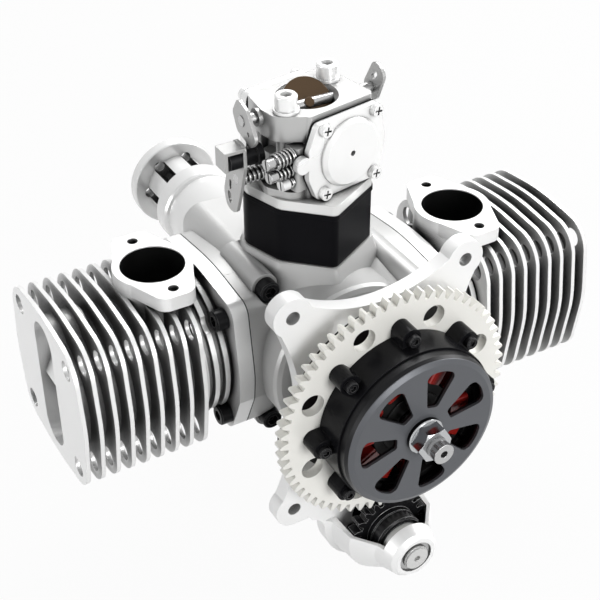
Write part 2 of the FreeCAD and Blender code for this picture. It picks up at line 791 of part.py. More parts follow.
# ---------------------------------------------------------------- starter
motor_start = plate_thick
motor = spin_y([(0, motor_start), (motor_r - 1.5, motor_start), (motor_r, motor_start + 1.5),
                (motor_r, motor_start + motor_length - 8), (motor_r - 1, motor_start + motor_length - 8),
                (motor_r - 1, motor_start + motor_length - 2), (motor_r - 3, motor_start + motor_length),
                (0, motor_start + motor_length)], 0, pinion_z)
motor = join(motor, rod(motor_nose_r - 0.2, 5, (0, motor_start - 5, pinion_z), Y))
motor = carve(motor, rod(starter_shaft_r + run_gap, 21, (0, motor_start - 6, pinion_z), Y))
save("starter_motor", motor)
bush_back = nose_front + 7.5
save("starter_bush", tube(bush_r, starter_shaft_r + 2 + run_gap, 6.5, (0, nose_front + 1, pinion_z), Y))


def gear_outline(teeth, backlash, tip_angle):
    """Involute spur gear, 20 degree pressure angle, with a tooth centred on tip_angle."""
    pitch_r = module * teeth / 2
    base_r = pitch_r * math.cos(math.radians(20))
    tip_r = pitch_r + module
    root_r = pitch_r - 1.25 * module
    inv = math.tan(math.radians(20)) - math.radians(20)
    half_tooth = math.pi / (2 * teeth) - backlash / (2 * pitch_r)
    flank = []
    low = max(root_r, base_r)
    for k in range(4):
        r = low + (tip_r - low) * k / 3
        a = math.acos(min(1.0, base_r / r))
        flank.append((r, half_tooth + inv - (math.tan(a) - a)))
    if root_r < base_r:
        flank.insert(0, (root_r, flank[0][1] + 0.1 / pitch_r))
    points = []
    for i in range(teeth):
        centre = math.radians(tip_angle) + 2 * math.pi * i / teeth
        for r, a in flank:
            points.append((r * math.cos(centre - a), r * math.sin(centre - a), 0))
        for r, a in reversed(flank):
            points.append((r * math.cos(centre + a), r * math.sin(centre + a), 0))
    return points


tooth_backlash = 0.22
gear_back = gear_front + gear_thick
pinion_back = gear_back + 0.6
drum_front = -24.0
drum_line = -18.0
collar_front = bush_back + 0.4
pinion_gear = slab(gear_outline(pinion_teeth, tooth_backlash, 90 + 180.0 / pinion_teeth),
                   on_y(gear_front - 0.3, 0, pinion_z), Y * (pinion_back - gear_front + 0.3))
drum = spin_y([(0, gear_front - 0.2), (drum_r, gear_front - 0.2), (drum_r, drum_line + 0.4), (drum_r - 0.6, drum_line),
               (drum_r, drum_line - 0.4), (drum_r, drum_front + 0.8), (drum_r - 0.8, drum_front),
               (collar_r, drum_front), (collar_r, collar_front), (0, collar_front)], 0, pinion_z)
shaft = rod(starter_shaft_r, motor_start + 14 - collar_front, (0, collar_front, pinion_z), Y)
tip = rod(starter_shaft_r + 2, collar_front - nose_front + 1.2, (0, nose_front - 1.2, pinion_z), Y)
centre_hole = rod(1.6, 4, (0, nose_front - 2, pinion_z), Y)
pinion = carve(join(pinion_gear, drum, shaft, tip), [centre_hole])
groove = tube(starter_shaft_r + 3, starter_shaft_r + 1.3, 0.8, (0, nose_front - 0.2, pinion_z), Y)
pinion = pinion.cut(groove)
clip = tube(starter_shaft_r + 2.4, starter_shaft_r + 1.3, 0.8, (0, nose_front - 0.2, pinion_z), Y)
clip = clip.cut(Part.makeBox(3, 4, 6, V(-1.5, nose_front - 2, pinion_z - 10)))
save("starter_pinion", [pinion, clip])


# ---------------------------------------------------------------- crankshaft
taper_start = nose_end + 0.5
tail_r = 7.0              # shaft through the stator
bell_seat = gear_front - rotor_depth
washer_h = 2.4
nut_h = 7.0


def chamfered_disc(radius, start, length, c=1.0):
    return spin_y([(0, start), (radius - c, start), (radius, start + c), (radius, start + length - c),
                   (radius - c, start + length), (0, start + length)])


rear_shaft = join(chamfered_disc(web_r, rear_web, web_thick), rod(journal_r, rear_web - 9.0, (0, 9.0, 0), Y),
                  rod(tail_r, 9.0 - bell_seat + 3, (0, bell_seat - 3, 0), Y),
                  rod(end_thread_r, bell_seat - shaft_rear, (0, shaft_rear, 0), Y))
rear_shaft = rear_shaft.cut(rod(1.8, 5, (0, shaft_rear - 1, 0), Y))
front_shaft = join(chamfered_disc(web_r, front_web, web_thick),
                   rod(journal_r, taper_start - front_web, (0, front_web, 0), Y),
                   rod(journal_r - 1, cap_end - 5 - taper_start, (0, taper_start, 0), Y))
save("crankshaft_rear", rear_shaft)
save("crankshaft_front", front_shaft)
save("crankshaft_centre_web", chamfered_disc(web_r, centre_web, centre_web_thick))

# ---------------------------------------------------------------- propeller hub
hub_in = journal_r - 1
hub_profile = [(hub_in, hub_start), (nose_r - 1, hub_start), (nose_r - 0.2, hub_start + 1), (nose_r - 0.4, hub_start + 4),
               (hub_dish_r, hub_ring_start - 1), (hub_ring_r - 0.8, hub_ring_start), (hub_ring_r, hub_ring_start + 1.4),
               (hub_ring_r, hub_ring_end - 1.0), (hub_ring_r - 1, hub_ring_end), (hub_neck_r, hub_ring_end + 0.5),
               (hub_neck_r, flange_y), (flange_r - 0.6, flange_y), (flange_r, flange_y + 0.6),
               (flange_r, flange_y + flange_thick - 0.6), (flange_r - 0.6, flange_y + flange_thick),
               (hub_in, flange_y + flange_thick)]
hub = spin_y(hub_profile)
prop_holes = []
for k in range(prop_count):
    x, z = polar(prop_pcr, 65 + k * 360.0 / prop_count)
    prop_holes.append(rod(prop_hole_r, flange_y + flange_thick + 1 - hub_ring_end + 6, (x, hub_ring_end - 6, z), Y))
save("prop_hub", carve(hub, prop_holes))
cap_start = flange_y + flange_thick
cap = spin_y([(hub_in, cap_start), (cap_r, cap_start), (cap_r, cap_end - 2), (cap_r - 2, cap_end), (0, cap_end),
              (0, cap_end - 5), (hub_in, cap_end - 5)])
save("prop_cap", cap)

# ---------------------------------------------------------------- ring gear and generator rotor
gear = slab(gear_outline(gear_teeth, tooth_backlash, 90), on_y(gear_front), Y * gear_thick)
gear_cuts = [rod(gear_bore_r, 2 * gear_thick, (0, gear_front - 1, 0), Y)]
lug_angle = 360.0 / lug_count
gear_cuts += around(rod(gear_hole_r, 2 * gear_thick, (gear_hole_pcr, gear_front - 1, 0), Y), lug_count, first=lug_angle / 2)
screw_hole = rod(rotor_screw_r, 2 * gear_thick, (lug_r, gear_front - 1, 0), Y)
gear_cuts += around(screw_hole, lug_count)
save("ring_gear", carve(gear, gear_cuts))

rotor_front = gear_front - rotor_depth
lug_front = -24.0
lug = rod(lug_size, gear_front - lug_front, (lug_r, lug_front, 0), Y)
web = Part.makeBox(lug_r - rotor_r + 1, gear_front - lug_front, 2 * lug_size,
                   V(rotor_r - 1, lug_front, -lug_size))
rotor = join(rod(rotor_r, rotor_depth, (0, rotor_front, 0), Y), around(join(lug, web), lug_count))
bottom = rotor_r - rotor_wall
rotor_cuts = [rod(bottom, rotor_depth + 2, (0, rotor_front - 1, 0), Y)]
rotor_cuts += around(rod(rotor_screw_r, 20, (lug_r, lug_front - 1, 0), Y), lug_count)
save("rotor_ring", carve(rotor, rotor_cuts))

one_screw = socket_screw(rotor_screw_r, rotor_screw_head_r, 3.0, gear_front + gear_thick - lug_front,
                         (lug_r, lug_front, 0), (0, 1, 0))
save("rotor_screws", around(one_screw, lug_count))

# bell: flat spider with wedge windows and a turned rim
bell_front = rotor_front - bell_depth
hub_r = 10.5
bell = spin_y([(end_thread_r, bell_front), (bell_r - 3.2, bell_front), (bell_r - 0.9, bell_front + 1.1),
               (bell_r, bell_front + 3.2), (bell_r, rotor_front), (bottom, rotor_front),
               (bell_r - bell_wall - 1.6, bell_front + bell_wall), (hub_r, bell_front + bell_wall),
               (hub_r, rotor_front - 3), (end_thread_r, rotor_front - 3)])
bow = 2.0                 # outer edge of a window bulges by this
window = [(window_in, -window_root, 1.5), (window_out - bow, -window_half, 3.2), (window_out, 0, 15),
          (window_out - bow, window_half, 3.2), (window_in, window_root, 1.5)]
opening = slab(window, on_y(bell_front - 1), Y * (bell_wall + 3))
bell = carve(bell, around(opening, window_count, first=-24.5))
save("rotor_bell", bell)

magnet_r = bottom
magnets = []
span = 360.0 / magnet_count
for k in range(magnet_count):
    ring = Part.makeCylinder(magnet_r, stator_thick + 2, V(0, rotor_front + 2, 0), Y, span - 3)
    core = rod(magnet_r - magnet_thick, stator_thick + 4, (0, rotor_front + 1, 0), Y)
    magnets.append(turned(ring.cut(core), k * span, V(0, 0, 0), Y))
save("rotor_magnets", magnets)

nut_start = bell_front - washer_h - nut_h
washer = tube(9.0, end_thread_r, washer_h, (0, bell_front - washer_h, 0), Y)
washer = washer.makeChamfer(0.5, [e for e in washer.Edges if abs(e.CenterOfMass.y - bell_front + washer_h) < 1e-3])
nut = hex_prism(nut_flat, nut_h, (0, nut_start, 0), Y)
cone = spin_y([(0, nut_start), (nut_flat * 0.5, nut_start), (nut_flat * 0.6, nut_start + 1.2),
               (nut_flat * 0.6, nut_start + nut_h), (0, nut_start + nut_h)])
nut = nut.common(cone).cut(rod(end_thread_r, 2 * nut_h, (0, nut_start - 1, 0), Y))
save("crank_nut", [washer, nut])

# ---------------------------------------------------------------- stator
stator_start = rotor_front + 3
stator_end = stator_start + stator_thick
carrier_in = tail_r + 1.2
carrier = spin_y([(carrier_in, stator_start - 1), (carrier_r, stator_start - 1), (carrier_r, stator_end),
                  (carrier_r + 2.5, stator_end), (carrier_r + 2.5, -4), (carrier_r + 6, -2.5), (carrier_r + 6, 0),
                  (journal_r + 3, 0), (journal_r + 3, -2), (carrier_in, -3)])
save("stator_carrier", carrier)
core_ring = carrier_r + 4.5
arm = Part.makeBox(stator_r - core_ring - 1, stator_thick, 4.4, V(core_ring - 1, stator_start, -2.2))
shoe_in = stator_r - 2.6
shoe = Part.makeCylinder(stator_r, stator_thick, V(0, stator_start, 0), Y, 24)
shoe = turned(shoe.cut(rod(shoe_in, stator_thick + 2, (0, stator_start - 1, 0), Y)), -12, V(0, 0, 0), Y)
pole = join(arm, shoe)
core = join(tube(core_ring, carrier_r, stator_thick, (0, stator_start, 0), Y), around(pole, stator_poles))
save("stator_core", core)
wind_in = core_ring + 0.4
wind_out = shoe_in - 0.3
wind = Part.makeBox(wind_out - wind_in, stator_thick + 3.6, 7.6, V(wind_in, stator_start - 1.8, -3.8))
wind = wind.makeFillet(1.6, [e for e in wind.Edges if abs(e.tangentAt(e.FirstParameter).x) > 0.9])
wind = wind.cut(Part.makeBox(30, stator_thick, 4.4, V(wind_in - 5, stator_start, -2.2)))
save("stator_coils", around(wind, stator_poles))


# ---------------------------------------------------------------- pistons and rods
piston_r = bore / 2 - piston_gap
crown_thick = 5.5
piston_wall = 3.2
wrist_x = crown_x - wrist_below_crown
pin_x = stroke / 2        # crankpin at top dead centre
ring_at = [crown_x - 4.0, crown_x - 8.0]


def make_piston(y):
    inner = piston_r - piston_wall
    body = spin_x([(0, crown_x), (piston_r - 0.8, crown_x), (piston_r, crown_x - 0.8), (piston_r, skirt_end_tdc),
                   (inner, skirt_end_tdc), (inner, crown_x - crown_thick - 2), (inner - 2, crown_x - crown_thick),
                   (0, crown_x - crown_thick)], y)
    boss = rod(wrist_r + 3, 2 * inner + 1, (wrist_x, y - inner - 0.5, 0), Y)
    boss = boss.cut(Part.makeBox(40, rod_width + 1, 40, V(wrist_x - 20, y - rod_width / 2 - 0.5, -20)))
    grooves = []
    for x in ring_at:
        grooves.append(tube(piston_r + 1, piston_r - ring_depth, ring_width, (x - ring_width, y, 0), X))
    return carve(join(body, boss), [rod(wrist_r, bore, (wrist_x, y - bore / 2, 0), Y)] + grooves)


def make_rings(y):
    gap = Part.makeBox(60, 1.0, 10, V(wrist_x, y - 0.5, -bore / 2 - 5))
    return [tube(bore / 2 - run_gap, piston_r - ring_depth, ring_width, (x - ring_width, y, 0), X).cut(gap)
            for x in ring_at]


def make_wrist_pin(y):
    length = 2 * (piston_r - piston_wall) - 2
    pin = tube(wrist_r, wrist_bore_r, length, (wrist_x, y - length / 2, 0), Y)
    clips = [tube(wrist_r, wrist_r - 1.2, 1.0, (wrist_x, y + s * (length / 2 + 0.5) - 0.5, 0), Y) for s in (-1, 1)]
    return [pin] + clips


def make_con_rod(y):
    low = y - rod_width / 2
    eyes = [rod(big_end_r, rod_width, (pin_x, low, 0), Y), rod(small_end_r, rod_width, (wrist_x, low, 0), Y)]
    a = 5.5
    b = 7.0
    shank = slab([(pin_x, b, 0), (wrist_x, a, 0), (wrist_x, -a, 0), (pin_x, -b, 0)], on_y(y - 3.0), Y * 6)
    flute = slab([(pin_x + big_end_r + 3, b - 3, 2), (wrist_x - small_end_r - 2, a - 2.4, 2),
                  (wrist_x - small_end_r - 2, 2.4 - a, 2), (pin_x + big_end_r + 3, 3 - b, 2)], on_y(y - 4), Y * 2.5)
    other = flute.copy()
    other.translate(Y * 5.5)
    bores = [rod(big_bore_r, bore, (pin_x, y - bore / 2, 0), Y), rod(wrist_r, bore, (wrist_x, y - bore / 2, 0), Y)]
    return carve(join(eyes, shank), [flute, other] + bores)


def make_crankpin(y):
    pin = rod(pin_r, rod_width, (pin_x, y - rod_width / 2, 0), Y)
    cage = tube(big_bore_r, pin_r, rod_width - 0.6, (pin_x, y - rod_width / 2 + 0.3, 0), Y)
    return [pin, cage]



for side, y in (("right", right_y), ("left", left_y)):
    made = {"piston": [make_piston(y)], "piston_rings": make_rings(y), "wrist_pin": make_wrist_pin(y),
            "con_rod": [make_con_rod(y)], "crankpin": make_crankpin(y)}
    for name, solids in made.items():
        placed = solids if side == "right" else [mirrored(s) for s in solids]
        save(name + "_" + side, placed)

# ---------------------------------------------------------------- intake stack
def on_pad(z):
    return on_z(z, 0, intake_y, intake_turn)


def stack_holes(z, height):
    return [rod(bolt_r + 0.3, height, (x, y, z), Z) for x, y in carb_bolt_points()]


def throat(z, height):
    return rod(throat_r, height, (0, intake_y, z), Z)


block_low = pad_top + gasket
reed_top = block_low + reed_flange_h
sheet = slab(intake_outline(), on_pad(pad_top), Z * gasket)
cavity = slab(reed_cavity(), on_pad(pad_top - 1), Z * 3)
save("insulator_gasket", carve(sheet, cavity, stack_holes(pad_top - 1, 3)))

block = slab(intake_outline(), on_pad(block_low), Z * (insulator_top - block_low))
block = join(block, slab(intake_outline(stack_lip), on_pad(insulator_top - stack_lip_h), Z * stack_lip_h))
pocket = slab(reed_outline(seat_gap), on_pad(block_low - 1), Z * (reed_flange_h + 1))
save("insulator", carve(block, throat(block_low - 1, 60), stack_holes(block_low - 1, 60), pocket))
plate = slab(intake_outline(), on_pad(insulator_top), Z * (adaptor_top - insulator_top))
save("carb_adaptor", carve(plate, throat(insulator_top - 1, 9), stack_holes(insulator_top - 1, 9)))


def wedge(points, half_width):
    """Prism across the turned intake axis; points are (u, z)."""
    c = math.cos(math.radians(intake_turn))
    s = math.sin(math.radians(intake_turn))
    pts = [V(u * c + half_width * s, intake_y + u * s - half_width * c, z) for u, z in points]
    return Part.Face(Part.makePolygon(pts + pts[:1])).extrude(V(-s, c, 0) * (2 * half_width))


# reed valve: wedge cage in the intake with a petal on each sloping face
reed_tip = block_low - reed_depth
cage_u = reed_u - 3.0
cage_v = reed_v - 3.0
tip_u = 1.5
cage = wedge([(-cage_u, block_low), (cage_u, block_low), (tip_u, reed_tip), (-tip_u, reed_tip)], cage_v)
hollow = wedge([(2 - cage_u, reed_top + 1), (cage_u - 2, reed_top + 1), (0.5, reed_tip + 4), (-0.5, reed_tip + 4)],
               cage_v - 2)
cage = join(slab(reed_outline(), on_pad(block_low), Z * reed_flange_h), cage).cut(hollow)
petals = []
for s in (-1, 1):
    drop = reed_depth * 0.25
    run = (cage_u - tip_u) * 0.25
    a = (cage_u - run, block_low - drop)
    b = (cage_u - 3 * run, block_low - 3 * drop)
    port = [(s * a[0] + s * 3, a[1] - 1), (s * b[0] + s * 3, b[1] - 1), (s * b[0] - s * 3, b[1] + 1), (s * a[0] - s * 3, a[1] + 1)]
    cage = cage.cut(wedge(port, cage_v - 5))
    petals.append(wedge([(s * cage_u, block_low), (s * (cage_u + petal_t), block_low),
                         (s * (tip_u + petal_t), reed_tip), (s * tip_u, reed_tip)], cage_v - 3))
save("reed_valve", [cage] + petals)

# ---------------------------------------------------------------- carburettor
turn_c = math.cos(math.radians(carb_turn))
turn_s = math.sin(math.radians(carb_turn))
along_u = V(turn_c, turn_s, 0)
along_v = V(-turn_s, turn_c, 0)


def on_carb(z):
    """Plan sketch in the turned frame of the carburettor body."""
    return on_z(z, 0, intake_y, carb_turn)


def carb_point(u, v, z):
    return V(0, intake_y, z) + along_u * u + along_v * v


def on_cover(v):
    """Sketch plane of a side cover: u runs along the body, v is the height."""
    return lambda p: carb_point(p.x, v, p.y)


w = carb_half_v
low_flange = [(24, w - 3, 8), (-20, w - 3, 9), (-26, -2, 6), (-20, 2 - w, 8), (18, 2 - w, 4)]
main_block = [(carb_u, w, 3), (-14, w, 2), (-14, -w, 2), (carb_u, -w, 3)]
top_flange = [(23, w, 5), (-20, w, 3), (-24.5, 2, 6), (-24.5, -8, 8), (-16, 3 - w, 6), (-12, -w, 3), (22, -w, 3)]
side_box = [(-13, 8, 0), (-20, 8, 3), (-20, -8, 3), (-13, -8, 0)]
shaft_span = 45.0         # the shaft bores run right through the body
needle_block = [(-13, -9.8, 0), (needle_seat, -9.8, 0), (needle_seat, -w, 2), (-13, -w, 0)]
rear_block = [(-13, w, 0), (-19, w, 2), (-19, w - 7, 2), (-13, w - 7, 0)]
carb = [slab(low_flange, on_carb(adaptor_top), Z * low_flange_h),
        slab(main_block, on_carb(adaptor_top), Z * (carb_top - adaptor_top)),
        slab(top_flange, on_carb(carb_top - top_flange_h), Z * top_flange_h),
        slab(side_box, on_carb(adaptor_top + low_flange_h), Z * 13),
        slab(needle_block, on_carb(idle_z - 4.5), Z * (high_z - idle_z + 8)),
        slab(rear_block, on_carb(adaptor_top + low_flange_h), Z * (carb_top - adaptor_top - low_flange_h))]
carb += [rod(carb_column_r, carb_top - adaptor_top, (x, y, adaptor_top), Z) for x, y in carb_bolt_points()]
choke_boss_x = -26.0
carb.append(rod(4.2, 8, (choke_boss_x, intake_y, choke_z), X))
spring_boss_x = -22.5
carb.append(rod(spring_r, 12, (spring_boss_x, intake_y, throttle_z), X))
carb_cuts = [throat(adaptor_top - 1, 60)] + stack_holes(adaptor_top - 1, 60)
carb_cuts.append(Part.makeCone(throat_r, throat_r + 1.5, 3.01, V(0, intake_y, carb_top - 3), Z))
for z in (choke_z, throttle_z):
    carb_cuts.append(rod(shaft_r + run_gap, 2 * shaft_span, (-shaft_span, intake_y, z), X))
needles = {"high_needle": (high_z, high_head, high_spring_r), "low_needle": (low_z, low_head, low_spring_r),
           "idle_screw": (idle_z, idle_head, low_spring_r)}
for z, head, spring in needles.values():
    carb_cuts.append(rod(needle_r + run_gap, needle_tip - needle_seat + 2, tuple(carb_point(needle_seat - 1, needle_v, z)), along_u))


def cover_screw_seats(mid_u, mid_z, v):
    return [carb_point(mid_u + su * screw_pitch_u, v, mid_z + sz * screw_pitch_z) for su in (-1, 1) for sz in (-1, 1)]


def cover_outline(mid_u, mid_z, left_bulge):
    a = screw_pitch_u + 3.4
    h = screw_pitch_z + 2.9
    left = mid_u - a - left_bulge
    return [(mid_u + a, mid_z + h, 3.2), (mid_u - a, mid_z + h, 3.2), (left, mid_z + 7, 5), (left, mid_z - 7, 5),
            (mid_u - a, mid_z - h, 3.2), (mid_u + a, mid_z - h, 3.2), (mid_u + a + 3.5, mid_z, 8)]


covers = {-1: (meter_u, meter_z, cover_thick, meter_bulge), 1: (pump_u, pump_z, pump_thick, pump_bulge)}
screw_depth = 6.0
sheets = []
cover_screws = []
for side, (mid_u, mid_z, thick, bulge) in covers.items():
    outward = along_v * side
    for seat in cover_screw_seats(mid_u, mid_z, side * w):
        carb_cuts.append(rod(cover_screw_r, screw_depth + 1, tuple(seat - outward * screw_depth), outward))
    sheet = slab(cover_outline(mid_u, mid_z, bulge), on_cover(side * w), outward * side_gasket)
    holes = [rod(cover_screw_r, 9, tuple(p), outward) for p in cover_screw_seats(mid_u, mid_z, side * (w - 1))]
    holes.append(rod(dome_r - 3, 9, tuple(carb_point(mid_u, side * (w - 1), mid_z)), outward))
    sheets.append(carve(sheet, holes))
    for p in cover_screw_seats(mid_u, mid_z, side * (w + side_gasket + thick)):
        reach = side_gasket + thick + screw_depth
        cover_screws.append(tube(cover_washer_r, cover_screw_r, cover_washer_h, tuple(p), outward))
        under = p + outward * cover_washer_h
        screw = join(rod(cover_head_r, cover_head_h, tuple(under), outward),
                     rod(cover_screw_r, reach, tuple(under - outward * reach), outward))
        for a, b in ((4.0, 0.9), (0.9, 4.0)):
            bar = Part.makeBox(a, b, 2 * cross_depth, V(-a / 2, -b / 2, -cross_depth))
            top = under + outward * cover_head_h
            bar.Placement = FreeCAD.Placement(top, FreeCAD.Rotation(Z, outward)) * bar.Placement
            screw = screw.cut(bar)
        cover_screws.append(screw)
save("carb_body", carve(join(carb), carb_cuts))
save("carb_gaskets", sheets)
save("carb_cover_screws", cover_screws)

face = -w - side_gasket
cover = slab(cover_outline(meter_u, meter_z, meter_bulge), on_cover(face), along_v * -cover_thick)
middle = carb_point(meter_u, face - cover_thick, meter_z)
dome = rod(dome_r, dome_h, tuple(middle), along_v * -1)
dome = dome.makeChamfer(1.6, [e for e in dome.Edges if (e.CenterOfMass - middle + along_v * dome_h).Length < 1e-3])
lug = rod(cover_lug_r, cover_thick, tuple(carb_point(meter_u - cover_lug_u, face, meter_z + 1.4)), along_v * -1)
cover_cuts = [rod(cover_screw_r, 20, tuple(p), along_v * -1) for p in cover_screw_seats(meter_u, meter_z, -w)]
cover_cuts.append(rod(vent_r, 20, tuple(middle + along_v * 9), along_v * -1))
cover_cuts.append(rod(dome_r - 3, cover_thick + dome_h - 1.8, tuple(carb_point(meter_u, face, meter_z)), along_v * -1))
save("metering_cover", carve(join(cover, dome, lug), cover_cuts))
pump = slab(cover_outline(pump_u, pump_z, pump_bulge), on_cover(w + side_gasket), along_v * pump_thick)
save("pump_cover", carve(pump, [rod(cover_screw_r, 20, tuple(p), along_v) for p in cover_screw_seats(pump_u, pump_z, w)]))

bolts = []
for x, y in carb_bolt_points():
    bolts.append(tube(carb_washer_r, bolt_r, carb_washer_h, (x, y, carb_top), Z))
    seat_z = carb_top + carb_washer_h
    bolts.append(socket_screw(bolt_r, bolt_head_r, carb_head_h, seat_z - pad_top + 9, (x, y, seat_z), (0, 0, -1)))
save("carb_bolts", bolts)


def butterfly(z, tilt, start, end):
    """Slotted shaft, disc and its screw, turned together about the shaft axis."""
    middle = V(0, intake_y, z)
    low = (0, intake_y, z - plate_t / 2)
    disc = rod(plate_r, plate_t, low, Z)
    slot = Part.makeBox(2 * throat_r, 2 * shaft_r + 2, plate_t, V(-throat_r, intake_y - shaft_r - 1, z - plate_t / 2))
    hole = rod(1.2, 2 * shaft_r + 1, (0, intake_y, z - shaft_r), Z)
    sink = rod(2.2, shaft_r, (0, intake_y, z + shaft_r - 0.8), Z)
    shaft = carve(rod(shaft_r, end - start, (start, intake_y, z), X), slot, hole, sink)
    head = rod(2.2, 1.5, (0, intake_y, z + shaft_r - 0.8), Z)
    screw = join(rod(1.2, 2 * shaft_r - 1, (0, intake_y, z + 1 - shaft_r), Z), head)
    return [turned(s, tilt, middle, X) for s in (shaft, disc.cut(hole), screw)]


# throttle: shaft, plate, slotted arm with cable swivel and guard, return spring
shaft, disc, screw = butterfly(throttle_z, 0, arm_x, 27)
save("throttle_shaft", shaft)
save("throttle_plate", [disc, screw])
here = (intake_y, throttle_z)
arm_line = [(-8.6, 9, 4), (-8.0, 19.6, 3), (1.2, 19.6, 3), (7.6, 3, 6), (12, -11, 5), (9.5, -19.5, 5),
            (0.5, -18.5, 5), (-4.5, -4, 6)]
arm = slab(arm_line, on_x(arm_x, *here), X * arm_t)
slots = [[(6.2, -3, 0.9), (4.2, -3, 0.9), (4.8, -8, 0.9), (6.8, -8, 0.9)],
         [(8.6, -9.5, 1.5), (5.2, -9.5, 1.5), (4.4, -15.5, 1.5), (7.8, -15.5, 1.5)]]
arm = carve(arm, [slab(s, on_x(arm_x - 1, *here), X * 4) for s in slots], rod(shaft_r, 6, (arm_x - 1, *here), X))
pivot = (intake_y + swivel_dy, throttle_z + swivel_dz)
arm = arm.cut(rod(swivel_pin_r, 6, (arm_x - 1, *pivot), X))
inner_x = arm_x + arm_t
screw = socket_screw(swivel_pin_r, swivel_r, swivel_head, spacer_length + collar_length + arm_t, (arm_x, *pivot), (1, 0, 0))
spacer = tube(swivel_r - 0.2, swivel_pin_r, spacer_length, (inner_x, *pivot), X)
collar = tube(collar_swivel_r, swivel_pin_r, collar_length, (inner_x + spacer_length, *pivot), X)
guard_low = pivot[1] + swivel_r + 0.6
guard_y = pivot[0] - guard_depth / 2
guard = [Part.makeBox(guard_width + arm_t / 2, guard_depth, guard_t, V(arm_x - guard_width, guard_y, guard_low)),
         Part.makeBox(guard_t, guard_depth, guard_drop, V(arm_x - guard_width, guard_y, guard_low + guard_t - guard_drop))]
save("throttle_arm", join(arm, guard))
save("cable_swivel", [screw, spacer, collar])
spring_start = inner_x + seat_gap
turns = 5
spring_pitch = (spring_boss_x - spring_start - 2 * spring_wire) / (turns - 1)
save("throttle_spring", coil(spring_r - spring_wire, spring_wire, spring_pitch, turns, (spring_start, *here), X))

# choke: shaft, plate and a lever at each end
shaft, disc, screw = butterfly(choke_z, choke_rest, choke_x0, choke_x1)
save("choke_shaft", shaft)
save("choke_plate", [disc, screw])
here = (intake_y, choke_z)
left_line = [(8.5, 1.5, 3), (3.5, 9.5, 3), (-5, 6.5, 4), (-13.0, -4.6, 3), (-8.4, -9.6, 3), (4.5, -6.5, 4)]
left_lever = slab(left_line, on_x(choke_x0 + 0.4, *here), X * lever_t)
left_lever = carve(left_lever, rod(shaft_r, 9, (choke_x0 - 2, *here), X), rod(1.2, 9, (choke_x0 - 2, intake_y - 6, choke_z - 4), X))
right_line = [(7.6, -1.8, 4), (-1.5, 14.3, 4), (-10.5, 9.9, 4), (-3.2, -7.2, 4)]
right_lever = slab(right_line, on_x(choke_x1 - 1 - lever_t, *here), X * lever_t)
notch = slab([(-1.0, 3.8, 0.9), (0.4, 5.6, 0.9), (-3.4, 9.2, 0.9), (-4.8, 7.4, 0.9)], on_x(choke_x1 - 5, *here), X * 9)
save("choke_levers", [left_lever, carve(right_lever, notch, rod(shaft_r, 9, (choke_x1 - 6, *here), X))])

# mixture needles and idle screw, each held by a spring under its head
springs = []
for name, (z, head, spring_outer) in needles.items():
    start = carb_point(head, needle_v, z)
    body = join(rod(needle_head_r, needle_head_h, tuple(start), along_u),
                rod(needle_r, needle_tip - head, tuple(start), along_u))
    bar = Part.makeBox(2 * needle_head_r + 1, 0.8, 2.4, V(-needle_head_r - 0.5, -0.4, -1.2))
    bar.Placement = FreeCAD.Placement(start, FreeCAD.Rotation(Z, along_u)) * bar.Placement
    save(name, body.cut(bar))
    spring_from = start + along_u * (needle_head_h + run_gap)
    length = needle_seat - head - needle_head_h - run_gap
    count = max(2, round(length / 1.9))
    pitch = (length - 2 * needle_wire) / (count - 1)
    springs.append(coil(spring_outer - needle_wire, needle_wire, pitch, count, tuple(spring_from), along_u))
save("needle_springs", springs)
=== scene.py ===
import json
import math
import bmesh
import bpy
from mathutils import Matrix, Vector


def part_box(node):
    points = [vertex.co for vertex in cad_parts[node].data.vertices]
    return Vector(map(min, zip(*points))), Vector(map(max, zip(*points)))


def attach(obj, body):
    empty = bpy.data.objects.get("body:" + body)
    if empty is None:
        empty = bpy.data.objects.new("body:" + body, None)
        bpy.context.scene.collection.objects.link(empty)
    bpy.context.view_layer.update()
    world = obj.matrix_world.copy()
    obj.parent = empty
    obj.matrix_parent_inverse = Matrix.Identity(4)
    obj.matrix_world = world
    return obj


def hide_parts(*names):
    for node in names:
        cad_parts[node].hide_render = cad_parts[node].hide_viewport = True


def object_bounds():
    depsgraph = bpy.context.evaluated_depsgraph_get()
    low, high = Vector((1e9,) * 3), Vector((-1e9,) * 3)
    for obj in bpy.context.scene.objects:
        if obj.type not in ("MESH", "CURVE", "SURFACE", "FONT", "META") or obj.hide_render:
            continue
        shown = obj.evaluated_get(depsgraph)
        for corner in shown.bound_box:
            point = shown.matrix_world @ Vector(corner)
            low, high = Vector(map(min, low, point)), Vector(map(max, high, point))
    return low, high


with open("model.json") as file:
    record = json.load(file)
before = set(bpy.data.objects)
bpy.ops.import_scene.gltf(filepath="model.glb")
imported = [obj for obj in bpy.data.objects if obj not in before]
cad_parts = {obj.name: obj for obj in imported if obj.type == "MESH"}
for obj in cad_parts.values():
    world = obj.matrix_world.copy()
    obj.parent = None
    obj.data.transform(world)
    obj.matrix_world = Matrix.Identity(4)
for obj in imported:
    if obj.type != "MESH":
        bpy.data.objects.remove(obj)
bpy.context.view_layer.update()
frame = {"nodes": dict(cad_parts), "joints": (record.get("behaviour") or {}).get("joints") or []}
nodes = frame["nodes"]
scene = bpy.context.scene


